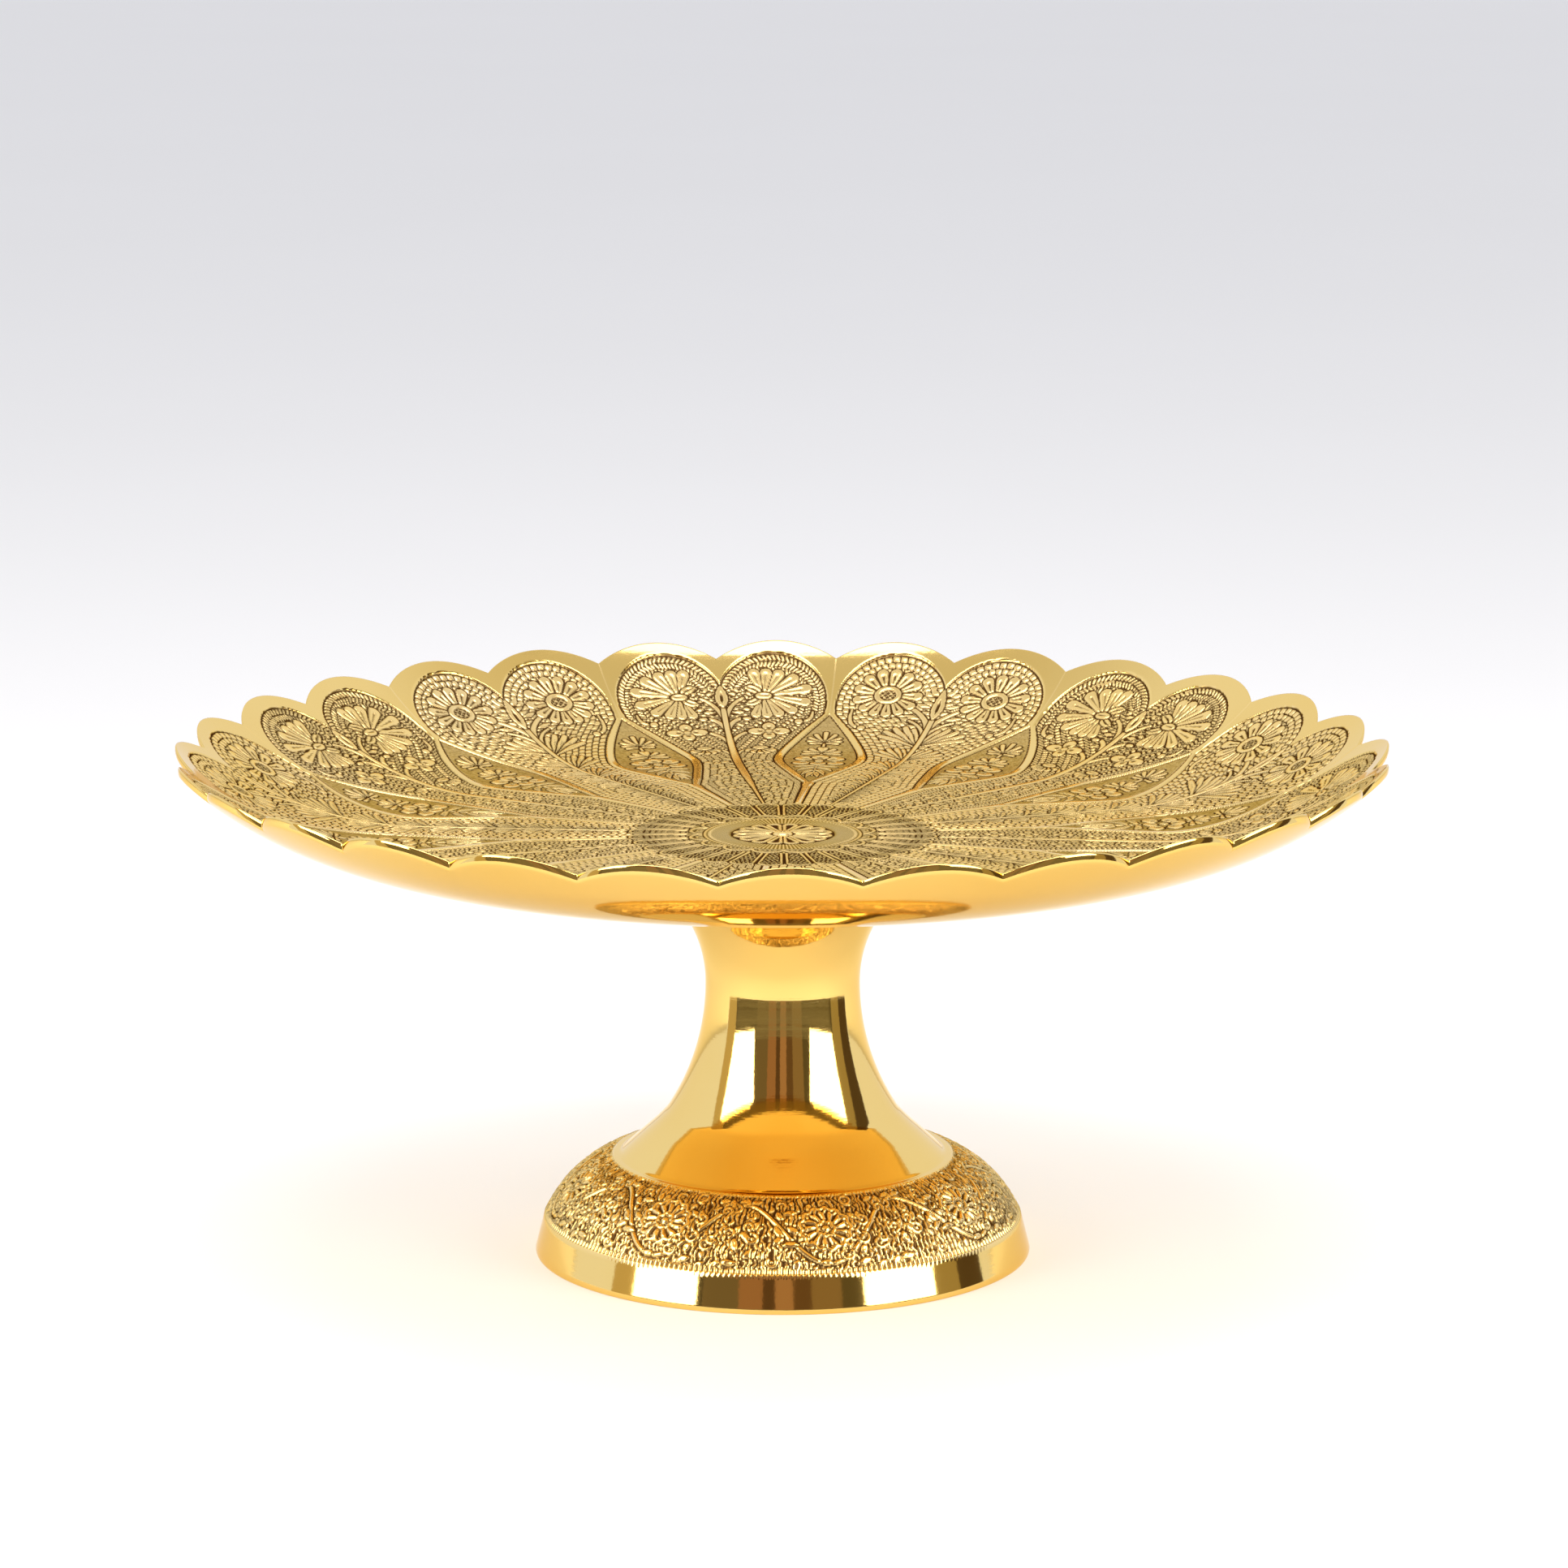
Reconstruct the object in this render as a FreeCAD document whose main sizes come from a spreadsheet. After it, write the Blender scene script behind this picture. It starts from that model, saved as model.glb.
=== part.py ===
"""Pedestal cake stand in brass: a shallow scalloped dish bolted to a hollow turned foot.

The frame is in millimetres, +Z up. The origin is the centre of the circle on which the foot
stands, so the surface under the stand is z = 0. The tip of one scallop points along -Y.
"""

import FreeCAD
import Part
import math
import os
import re

import Sketcher

DRIVING_DIMENSIONS = {
    # dish
    "tip_radius": 150.0,
    "scallop_count": 28,
    "scallop_radius": 26.4,
    "floor_height": 106.1,
    "floor_radius": 92.0,
    "rim_arc_radius": 84.4,
    "dish_thickness": 1.7,
    "blank_reach": 156.0,
    "blank_bottom": 95.0,
    "blank_top": 142.0,
    # outside of the pedestal, from the table up
    "foot_radius": 62.1,
    "band_foot_radius": 59.8,
    "band_foot_height": 9.2,
    "band_arc_radius": 28.4,
    "band_top_radius": 42.6,
    "band_top_height": 24.6,
    "cone_foot_radius": 40.7,
    "cone_foot_height": 24.7,
    "cone_knee_radius": 33.3,
    "cone_knee_height": 31.4,
    "cone_low_arc_radius": 44.5,
    "cone_middle_radius": 28.9,
    "cone_middle_height": 36.0,
    "cone_high_arc_radius": 60.0,
    "neck_radius": 19.3,
    "neck_height": 68.5,
    "flare_arc_radius": 32.2,
    "flare_middle_radius": 24.0,
    "flare_middle_height": 85.2,
    "seat_radius": 33.5,
    "flare_top_height": 100.0,
    # inside of the pedestal, from the top down
    "wall_thickness": 3.0,
    "mouth_radius": 29.5,
    "recess_radius": 20.0,
    "web_top": 94.0,
    "web_bottom": 90.0,
    "web_hole_radius": 4.5,
    "core_middle_radius": 26.5,
    "core_middle_height": 34.2,
    "core_low_arc_radius": 45.0,
    "core_cone_radius": 42.5,
    "core_shoulder_radius": 43.6,
    "core_band_radius": 57.0,
    "core_foot_radius": 59.1,
    # boss under the dish
    "boss_flange_radius": 17.0,
    "boss_flange_thickness": 2.2,
    "boss_radius": 11.0,
    "boss_bottom": 95.0,
    "tapped_depth": 8.4,
    # M8 fastening, from the boss down
    "thread_radius": 4.0,
    "stud_top": 103.0,
    "stud_bottom": 76.0,
    "stud_chamfer": 0.8,
    "washer_outer_radius": 8.0,
    "washer_inner_radius": 4.2,
    "washer_thickness": 1.6,
    "spring_outer_radius": 7.4,
    "spring_inner_radius": 4.2,
    "spring_thickness": 2.0,
    "spring_gap": 1.2,
    "nut_across_flats": 13.0,
    "nut_height": 6.5,
    "nut_corner_cone": 5.2,
}

SHEET = "Dims"

doc = FreeCAD.newDocument("CakeStand")
sheet = doc.addObject("Spreadsheet::Sheet", SHEET)
for row, (alias, value) in enumerate(DRIVING_DIMENSIONS.items(), start=1):
    sheet.set("A%d" % row, alias)
    sheet.set("B%d" % row, "%g" % value)
    sheet.setAlias("B%d" % row, alias)
doc.recompute()


def cell(expression):
    """Write an expression over dimension names with the sheet's name before each of them."""
    return re.sub(r"[a-z_]{5,}", lambda word: "%s.%s" % (SHEET, word.group()), expression)


def size(expression):
    """The present value of an expression over dimension names."""
    if isinstance(expression, (int, float)):
        return float(expression)
    result = sheet.evalExpression(cell(expression))
    return float(getattr(result, "Value", result))


def make_body(label):
    body = doc.addObject("PartDesign::Body", label)
    body.Label = label
    return body


def origin_plane(body, role):
    return next(item for item in body.Origin.OriginFeatures if item.Role == role)


def make_sketch(body, name, role="XZ_Plane", lift=None):
    """A sketch on one of the body's own origin planes, lifted along the plane's normal if asked."""
    sketch = body.newObject("Sketcher::SketchObject", name)
    sketch.AttachmentSupport = (origin_plane(body, role), [""])
    sketch.MapMode = "FlatFace"
    if lift:
        sketch.setExpression("AttachmentOffset.Base.z", cell(lift))
    return sketch


def bind(sketch, constraint, name, expression):
    """Add a driving constraint and tie its value to the sheet."""
    index = sketch.addConstraint(constraint)
    sketch.renameConstraint(index, name)
    sketch.setExpression("Constraints.%s" % name, cell(expression))


def circle(sketch, name, radius, centre_x=None):
    """A circle on the sketch's origin, or out along its horizontal axis."""
    x = size(centre_x) if centre_x else 0.0
    shape = Part.Circle(FreeCAD.Vector(x, 0, 0), FreeCAD.Vector(0, 0, 1), size(radius))
    index = sketch.addGeometry(shape, False)
    if centre_x:
        sketch.addConstraint(Sketcher.Constraint("PointOnObject", index, 3, -1))
        offset = Sketcher.Constraint("DistanceX", -1, 1, index, 3, x)
        bind(sketch, offset, name + "_offset", centre_x)
    else:
        sketch.addConstraint(Sketcher.Constraint("Coincident", index, 3, -1, 1))
    bind(sketch, Sketcher.Constraint("Radius", index, size(radius)), name + "_radius", radius)


def arc_between(start, end, radius, turn):
    """The short arc from start to end that turns left (+1) or right (-1) as it is travelled."""
    chord = end - start
    half = chord.Length / 2.0
    reach = math.sqrt(radius ** 2 - half ** 2)
    left = FreeCAD.Vector(-chord.y, chord.x, 0).normalize()
    centre = start + chord * 0.5 + left * (turn * reach)
    angles = [math.atan2(point.y - centre.y, point.x - centre.x) for point in (start, end)]
    if turn < 0:
        angles.reverse()
    ring = Part.Circle(centre, FreeCAD.Vector(0, 0, 1), radius)
    return Part.ArcOfCircle(ring, angles[0], angles[1])


def outline(sketch, corners):
    """A closed outline. Each corner is (x, y) or (x, y, arc radius to the next corner, turn)."""
    points = [FreeCAD.Vector(size(corner[0]), size(corner[1]), 0) for corner in corners]
    starts = []
    ends = []
    for number, corner in enumerate(corners):
        here = points[number]
        there = points[(number + 1) % len(points)]
        if len(corner) == 2:
            index = sketch.addGeometry(Part.LineSegment(here, there), False)
            first, last = 1, 2
        else:
            index = sketch.addGeometry(arc_between(here, there, size(corner[2]), corner[3]), False)
            first, last = (1, 2) if corner[3] > 0 else (2, 1)
            arc = Sketcher.Constraint("Radius", index, size(corner[2]))
            bind(sketch, arc, "arc_%d" % number, corner[2])
        starts.append((index, first))
        ends.append((index, last))
    for number, (index, side) in enumerate(starts):
        sketch.addConstraint(Sketcher.Constraint("Coincident", *ends[number - 1], index, side))
        place(sketch, number, index, side, corners[number], points[number])


def place(sketch, number, index, side, corner, point):
    """Fix one corner by its two coordinates, or by the sketch's axes where these are nought."""
    if corner[0] == 0:
        sketch.addConstraint(Sketcher.Constraint("PointOnObject", index, side, -2))
    else:
        across = Sketcher.Constraint("DistanceX", -1, 1, index, side, point.x)
        bind(sketch, across, "across_%d" % number, corner[0])
    if corner[1] == 0:
        sketch.addConstraint(Sketcher.Constraint("PointOnObject", index, side, -1))
    else:
        up = Sketcher.Constraint("DistanceY", -1, 1, index, side, point.y)
        bind(sketch, up, "up_%d" % number, corner[1])


def pad(body, name, sketch, length):
    feature = body.newObject("PartDesign::Pad", name)
    feature.Profile = sketch
    feature.setExpression("Length", cell(length))
    return feature


def turn(body, name, sketch, kind="PartDesign::Revolution"):
    """Turn the outline a full circle round the vertical axis, as metal or as a cut."""
    feature = body.newObject(kind, name)
    feature.Profile = sketch
    feature.ReferenceAxis = (sketch, ["V_Axis"])
    feature.Angle = 360.0
    return feature


def make_plate():
    """The dish: a scalloped disc, turned hollow above and round below to an even thickness."""
    body = make_body("plate")
    depth = "blank_top - blank_bottom"

    disc_sketch = make_sketch(body, "disc_sketch", "XY_Plane", "blank_bottom")
    circle(disc_sketch, "disc", "tip_radius - scallop_radius / 2")
    pad(body, "disc", disc_sketch, depth)

    lobe_sketch = make_sketch(body, "lobe_sketch", "XY_Plane", "blank_bottom")
    circle(lobe_sketch, "lobe", "scallop_radius", "tip_radius - scallop_radius")
    lobe = pad(body, "lobe", lobe_sketch, depth)

    lobes = body.newObject("PartDesign::PolarPattern", "lobes")
    lobes.Originals = [lobe]
    lobes.Axis = (lobe_sketch, ["N_Axis"])
    lobes.Angle = 360.0
    lobes.setExpression("Occurrences", cell("scallop_count"))
    body.Tip = lobes

    rise = "sqrt(rim_arc_radius ^ 2 - (blank_reach - floor_radius) ^ 2)"
    inside = make_sketch(body, "inside_sketch")
    outline(inside, [
        (0, "floor_height"),
        ("floor_radius", "floor_height", "rim_arc_radius", 1),
        ("blank_reach", "floor_height + rim_arc_radius - " + rise),
        ("blank_reach", "blank_top + dish_thickness"),
        (0, "blank_top + dish_thickness"),
    ])
    turn(body, "inside", inside, "PartDesign::Groove")

    outer_arc = "rim_arc_radius + dish_thickness"
    outer_rise = "sqrt((rim_arc_radius + dish_thickness) ^ 2 - (blank_reach - floor_radius) ^ 2)"
    underside = make_sketch(body, "underside_sketch")
    outline(underside, [
        (0, "blank_bottom - dish_thickness"),
        ("blank_reach", "blank_bottom - dish_thickness"),
        ("blank_reach", "floor_height + rim_arc_radius - " + outer_rise, outer_arc, -1),
        ("floor_radius", "floor_height - dish_thickness"),
        (0, "floor_height - dish_thickness"),
    ])
    turn(body, "underside", underside, "PartDesign::Groove")
    return body


def make_pedestal():
    """The foot and stem: one hollow shell, with a web across its top for the stud."""
    body = make_body("pedestal")
    seat_height = "floor_height - dish_thickness"
    bore_radius = "neck_radius - wall_thickness"
    core_top = "band_top_height - wall_thickness"
    profile = make_sketch(body, "profile_sketch")
    outline(profile, [
        ("foot_radius", 0),
        ("band_foot_radius", "band_foot_height", "band_arc_radius", 1),
        ("band_top_radius", "band_top_height"),
        ("cone_foot_radius", "cone_foot_height"),
        ("cone_knee_radius", "cone_knee_height", "cone_low_arc_radius", -1),
        ("cone_middle_radius", "cone_middle_height", "cone_high_arc_radius", -1),
        ("neck_radius", "neck_height", "flare_arc_radius", -1),
        ("flare_middle_radius", "flare_middle_height"),
        ("seat_radius", "flare_top_height"),
        ("seat_radius", seat_height),
        ("mouth_radius", seat_height),
        ("recess_radius", "web_top"),
        ("web_hole_radius", "web_top"),
        ("web_hole_radius", "web_bottom"),
        (bore_radius, "web_bottom"),
        (bore_radius, "neck_height", "cone_high_arc_radius + wall_thickness", 1),
        ("core_middle_radius", "core_middle_height", "core_low_arc_radius", 1),
        ("core_cone_radius", core_top),
        ("core_shoulder_radius", core_top, "band_arc_radius - wall_thickness", -1),
        ("core_band_radius", "band_foot_height"),
        ("core_foot_radius", 0),
    ])
    turn(body, "shell", profile)
    return body


def make_plate_boss():
    """A flanged boss brazed under the dish, tapped from below for the stud."""
    body = make_body("plate_boss")
    top = "floor_height - dish_thickness"
    hole_top = "boss_bottom + tapped_depth"
    profile = make_sketch(body, "boss_sketch")
    outline(profile, [
        ("thread_radius", "boss_bottom"),
        ("boss_radius", "boss_bottom"),
        ("boss_radius", "floor_height - dish_thickness - boss_flange_thickness"),
        ("boss_flange_radius", "floor_height - dish_thickness - boss_flange_thickness"),
        ("boss_flange_radius", top),
        (0, top),
        (0, hole_top),
        ("thread_radius", hole_top),
    ])
    turn(body, "boss", profile)
    return body


def make_centre_stud():
    """The threaded stud, drawn at the thread's outside diameter and chamfered at both ends."""
    body = make_body("centre_stud")
    end_radius = "thread_radius - stud_chamfer"
    profile = make_sketch(body, "stud_sketch")
    outline(profile, [
        (0, "stud_bottom"),
        (end_radius, "stud_bottom"),
        ("thread_radius", "stud_bottom + stud_chamfer"),
        ("thread_radius", "stud_top - stud_chamfer"),
        (end_radius, "stud_top"),
        (0, "stud_top"),
    ])
    turn(body, "stud", profile)
    return body


def make_ring(label, inner, outer, bottom, thickness):
    body = make_body(label)
    sketch = make_sketch(body, label + "_sketch", "XY_Plane", bottom)
    circle(sketch, "outside", outer)
    circle(sketch, "hole", inner)
    pad(body, label + "_ring", sketch, thickness)
    return body


def make_flat_washer():
    """The plain washer under the web."""
    bottom = "web_bottom - washer_thickness"
    return make_ring("flat_washer", "washer_inner_radius", "washer_outer_radius", bottom, "washer_thickness")


def make_lock_washer():
    """The split spring washer, pressed flat, with its gap on the +X side."""
    bottom = "web_bottom - washer_thickness - spring_thickness"
    body = make_ring("lock_washer", "spring_inner_radius", "spring_outer_radius", bottom, "spring_thickness")
    split = make_sketch(body, "split_sketch", "XY_Plane", bottom)
    inner = "spring_inner_radius / 2"
    outer = "spring_outer_radius * 2"
    half_gap = "spring_gap / 2"
    outline(split, [
        (inner, "0 - " + half_gap),
        (outer, "0 - " + half_gap),
        (outer, half_gap),
        (inner, half_gap),
    ])
    gap = body.newObject("PartDesign::Pocket", "split")
    gap.Profile = split
    gap.Reversed = True
    gap.setExpression("Length", cell("spring_thickness"))
    return body


def make_hex_nut():
    """The M8 nut: a hexagonal prism with its corners taken off by a cone at each end."""
    hexagon = doc.addObject("Part::Prism", "nut_hexagon")
    hexagon.Polygon = 6
    hexagon.setExpression("Circumradius", cell("nut_across_flats / sqrt(3)"))
    hexagon.setExpression("Height", cell("nut_height"))

    bottom = "web_bottom - washer_thickness - spring_thickness - nut_height"
    lower = doc.addObject("Part::Cone", "nut_lower_cone")
    lower.setExpression("Radius1", cell("nut_across_flats / 2"))
    lower.setExpression("Radius2", cell("nut_across_flats / 2 + nut_height * sqrt(3)"))
    lower.setExpression("Height", cell("nut_height"))

    upper = doc.addObject("Part::Cone", "nut_upper_cone")
    upper.setExpression("Radius1", cell("nut_across_flats / 2 + nut_height * sqrt(3)"))
    upper.setExpression("Radius2", cell("nut_across_flats / 2"))
    upper.setExpression("Height", cell("nut_height"))

    blank = doc.addObject("Part::MultiCommon", "nut_blank")
    blank.Shapes = [hexagon, lower, upper]

    hole = doc.addObject("Part::Cylinder", "nut_hole")
    hole.setExpression("Radius", cell("thread_radius"))
    hole.setExpression("Height", cell("nut_height"))

    nut = doc.addObject("Part::Cut", "hex_nut")
    nut.Label = "hex_nut"
    nut.Base = blank
    nut.Tool = hole
    nut.setExpression("Placement.Base.z", cell(bottom))
    return nut


PIECES = [
    make_plate(),
    make_plate_boss(),
    make_centre_stud(),
    make_pedestal(),
    make_flat_washer(),
    make_lock_washer(),
    make_hex_nut(),
]

doc.recompute()

for item in doc.Objects:
    if "Invalid" in item.State or "Error" in item.State:
        raise RuntimeError("%s did not recompute: %s" % (item.Name, item.State))
for piece in PIECES:
    if piece.Shape.isNull() or not piece.Shape.isValid():
        raise RuntimeError("%s has no valid shape" % piece.Label)

os.makedirs("parts", exist_ok=True)
for piece in PIECES:
    box = piece.Shape.BoundBox
    piece.Shape.exportStep("parts/%s.step" % piece.Label)
    print("%-12s %2d solid(s) %10.1f mm3  x %.1f..%.1f  z %.2f..%.2f" % (
        piece.Label, len(piece.Shape.Solids), piece.Shape.Volume,
        box.XMin, box.XMax, box.ZMin, box.ZMax))
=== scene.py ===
"""Looks of an engraved brass cake stand: a scalloped, chased dish on a polished turned foot.

The dish and the pedestal are rebuilt as dense meshes whose engraving is real relief, worked out
from signed distances to the motifs. The hidden fastening keeps its CAD shapes. Lengths inside the
pattern code are millimetres, as an engraver would give them; meshes are written in metres.
"""

import math

import bpy
import numpy as np
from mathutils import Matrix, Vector


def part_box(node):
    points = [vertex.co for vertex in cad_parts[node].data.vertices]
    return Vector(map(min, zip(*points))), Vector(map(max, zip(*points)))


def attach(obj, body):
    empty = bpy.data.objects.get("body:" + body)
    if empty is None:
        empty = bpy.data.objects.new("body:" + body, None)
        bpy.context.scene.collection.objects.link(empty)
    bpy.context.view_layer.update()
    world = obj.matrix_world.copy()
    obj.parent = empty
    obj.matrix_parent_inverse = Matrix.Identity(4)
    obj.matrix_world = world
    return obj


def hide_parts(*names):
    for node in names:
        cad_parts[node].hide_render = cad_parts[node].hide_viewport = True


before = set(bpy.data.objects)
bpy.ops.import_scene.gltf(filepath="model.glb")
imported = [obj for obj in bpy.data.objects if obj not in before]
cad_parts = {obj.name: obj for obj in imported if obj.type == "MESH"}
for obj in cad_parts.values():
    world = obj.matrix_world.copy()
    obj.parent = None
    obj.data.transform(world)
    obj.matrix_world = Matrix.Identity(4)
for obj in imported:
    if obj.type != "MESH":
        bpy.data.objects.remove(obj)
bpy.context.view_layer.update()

MM = 0.001
TAU = 2 * math.pi


def box_mm(node):
    """Lowest and highest corner of a CAD node, in millimetres."""
    low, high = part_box(node)
    return np.array(low) / MM, np.array(high) / MM


PLATE_LOW, PLATE_HIGH = box_mm("plate")
_, PEDESTAL_HIGH = box_mm("pedestal")

# The dish, as the CAD has it: flat floor, then one arc up to the rim, trimmed by 28 scallops.
SCALLOPS = 28
PITCH = TAU / SCALLOPS
TIP_RADIUS = PLATE_HIGH[0]
SCALLOP_RADIUS = 26.4
FLOOR_RADIUS = 92.0
RIM_ARC = 84.4
UNDERSIDE = PLATE_LOW[2]
THICKNESS = 1.7
FLOOR = UNDERSIDE + THICKNESS
NOTCH_ANGLE = -PITCH / 2
LAST_ROUND_RING = 136.0

# The chart on which the hearts are drawn: x is the angle times this radius, y is the radius.
CHART = 135.0
HALF_HEART = PITCH * CHART


# ---------------------------------------------------------------- numbers and distances

def smooth(low, high, value):
    """Smooth step from 0 at low to 1 at high. The ends may come in either order."""
    t = np.clip((value - low) / (high - low), 0.0, 1.0)
    return t * t * (3.0 - 2.0 * t)


def fraction(value):
    return value - np.floor(value)


def stroke(x, y, points, radii):
    """Signed distance to a line through the points, as thick at each point as its radius."""
    best = np.full(np.broadcast(x, y).shape, 1e3)
    for start, end, thick, thin in zip(points, points[1:], radii, radii[1:]):
        dx, dy = end[0] - start[0], end[1] - start[1]
        along = ((x - start[0]) * dx + (y - start[1]) * dy) / (dx * dx + dy * dy + 1e-9)
        along = np.clip(along, 0.0, 1.0)
        gap = np.hypot(x - start[0] - along * dx, y - start[1] - along * dy)
        best = np.minimum(best, gap - (thick + (thin - thick) * along))
    return best


def bend(start, middle, end, count=7):
    """Points along a quadratic curve."""
    t = np.linspace(0.0, 1.0, count)[:, None]
    start, middle, end = (np.array(point, float) for point in (start, middle, end))
    return (1 - t) ** 2 * start + 2 * t * (1 - t) * middle + t ** 2 * end


def taper(*values):
    """Radii for a bend's seven points, spaced evenly through the given values."""
    return np.interp(np.linspace(0, 1, 7), np.linspace(0, 1, len(values)), values)


def ellipse(x, y, half_x, half_y):
    return (np.hypot(x / half_x, y / half_y) - 1.0) * min(half_x, half_y)


def value_noise(x, y, seed, wrap=None):
    """Smooth noise from 0 to 1 with one cell per unit. wrap is the period along x, in cells."""
    table = np.random.default_rng(seed).random((256, 256))
    x0, y0 = np.floor(x).astype(int), np.floor(y).astype(int)
    fx, fy = x - x0, y - y0
    fx, fy = fx * fx * (3 - 2 * fx), fy * fy * (3 - 2 * fy)
    columns = [(x0 + step) % wrap if wrap else x0 + step for step in (0, 1)]
    rows = [(y0 + step) % 256 for step in (0, 1)]
    corner = [[table[row, column % 256] for column in columns] for row in rows]
    low = corner[0][0] * (1 - fx) + corner[0][1] * fx
    high = corner[1][0] * (1 - fx) + corner[1][1] * fx
    return low * (1 - fy) + high * fy


class Relief:
    """A height field in millimetres. 0 is the metal's original surface; the ground lies lower."""

    def __init__(self, height):
        self.height = height

    def emboss(self, distance, top=-0.02, groove=0.52, reach=0.5, crown=0.1):
        """Leave a shape standing, with a groove cut along its outline."""
        outside = smooth(reach, 0.1, distance)
        self.height = np.minimum(self.height, self.height * (1 - outside) - groove * outside)
        inside = smooth(0.16, -0.14, distance)
        rounded = top - crown * smooth(-0.7, 0.1, distance)
        self.height = self.height * (1 - inside) + rounded * inside

    def engrave(self, distance, depth=0.36, soft=0.14):
        """Cut a line or a hollow."""
        inside = smooth(soft, -soft, distance)
        self.height = np.minimum(self.height, self.height * (1 - inside) - depth * inside)

    def sink(self, distance, ground, soft=0.2):
        """Replace everything inside a region by another ground."""
        inside = smooth(soft, -soft, distance)
        self.height = self.height * (1 - inside) + ground * inside


# ---------------------------------------------------------------- the hearts on the dish

LOBE_X, LOBE_Y, LOBE_R = 13.9, 131.6, 15.1
CUSP = 137.5
LOZENGE_TOP, LOZENGE_MIDDLE, LOZENGE_FOOT = 126.0, 98.0, 67.0
LOZENGE_HALF = 13.7
ROW = 1.72


def narrowing_side(share, power, blunt=0.13):
    """A curve from 0 at the middle to 1 at the point, rounded off where it starts."""
    rise = (np.clip(share, 0, 1) ** 2 + blunt ** 2) ** (power / 2) - blunt ** power
    return rise / ((1 + blunt ** 2) ** (power / 2) - blunt ** power)


def lozenge_half(r):
    """Half width, on the chart, of the lozenge panel between two hearts."""
    upper = narrowing_side((r - LOZENGE_MIDDLE) / (LOZENGE_TOP - LOZENGE_MIDDLE), 1.25)
    lower = narrowing_side((LOZENGE_MIDDLE - r) / (LOZENGE_MIDDLE - LOZENGE_FOOT), 1.4)
    return LOZENGE_HALF * (1 - np.maximum(upper, lower))


def band_half(r):
    """Width, on the chart, of the plain band that runs along each side of a lozenge."""
    real = np.interp(r, [38, 61, 74, 118, 128, 134], [0.65, 0.95, 1.9, 1.9, 1.1, 0.9])
    return real * CHART / r


def heart_field(x, r):
    """Depth inside the heart's outline and distance along it, in millimetres."""
    narrowing = r / CHART
    side = HALF_HEART - lozenge_half(r) - band_half(r)
    slope = np.interp(r, [118, 130], [0.9, 1.0])
    to_side = (side - x) * narrowing * slope
    across, up = x - LOBE_X, r - LOBE_Y
    to_cusp = np.hypot(x, r - CUSP)
    on_lobe = np.where(across < 0, up > -0.4245 * across, up > 0)
    depth = np.where(on_lobe, LOBE_R - np.hypot(across, up), np.minimum(to_side, to_cusp))
    above_cusp = (r > CUSP) & ~on_lobe
    depth = np.where(above_cusp, -to_cusp, depth)
    along = np.where(on_lobe, LOBE_R * np.arctan2(up, across), up * 1.06)
    return depth, along


def rows_of(depth):
    row = np.floor((depth - 0.45) / ROW)
    across = (depth - 0.45) / ROW - row
    edges = smooth(0.0, 0.14, across) * smooth(1.0, 0.86, across)
    return row, across, edges


def rope_ground(depth, along):
    """Slanting ticks in rows along the outline, leaning the other way in every second row."""
    row, across, edges = rows_of(depth)
    lean = np.where(row % 2 == 0, 1.0, -1.0)
    tick = 0.5 + 0.5 * np.cos(TAU * (along / 1.28 + lean * (across - 0.5) * 0.8))
    return -0.46 + 0.40 * smooth(0.08, 0.5, tick) * edges


def cobble_ground(depth, along):
    """Small rounded bricks in rows along the outline."""
    row, _, edges = rows_of(depth)
    brick = fraction(along / 2.15 + 0.5 * (row % 2) + 0.13 * np.sin(row * 2.4))
    dome = smooth(0.0, 0.16, brick) * smooth(1.0, 0.84, brick) * edges
    return -0.48 + 0.36 * dome + 0.1 * dome * np.sin(np.pi * np.clip(brick, 0, 1))


def palmette(relief, x, y):
    """Long grooved petals that fan out from a bud, with a calyx of two leaves behind it."""
    for number in range(10):
        heading = math.radians(-108 + 24 * number)
        ux, uy = math.cos(heading), math.sin(heading)
        reach = 1.0 / math.hypot(ux / 13.4, uy / 8.8)
        tip = max(reach - 1.35, 4.0)
        petal = stroke(x, y, [(2.0 * ux, 1.4 * uy), (tip * ux, tip * uy)], [0.45, 1.62])
        relief.emboss(petal, reach=0.4)
        line = [(0.36 * reach * ux, 0.36 * reach * uy), (0.8 * reach * ux, 0.8 * reach * uy)]
        relief.engrave(stroke(x, y, line, [0.1, 0.36]), 0.28)
    for side in (1, -1):
        points = bend((-0.6, 0.5 * side), (-2.4, 2.9 * side), (-5.2, 3.1 * side))
        relief.emboss(stroke(x, y, points, taper(0.3, 1.2, 1.15, 0.15)))
        relief.engrave(stroke(x, y, points[1:6], taper(0.1, 0.34, 0.1)[1:6]))
    relief.emboss(ellipse(x, y, 2.3, 1.25))
    relief.engrave(stroke(x, y, [(-1.0, 0), (1.2, 0)], [0.16, 0.24]))


def four_petals(relief, x, y, size=1.0):
    """A small flower of four round petals, each with a dark centre."""
    petals = ((-3.1, 0, 2.5, 1.7), (3.1, 0, 2.5, 1.7), (0, 2.4, 1.7, 1.9), (0, -2.4, 1.7, 1.9))
    for dx, dy, half_x, half_y in petals:
        u, v = x - dx * size, y - dy * size
        relief.emboss(ellipse(u, v, half_x * size, half_y * size))
        relief.engrave(ellipse(u + 0.25 * dx * size, v + 0.25 * dy * size, 0.75 * size, 0.6 * size), 0.3)
    relief.emboss(np.hypot(x, y) - 0.9 * size, groove=0.4, reach=0.35)


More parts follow.
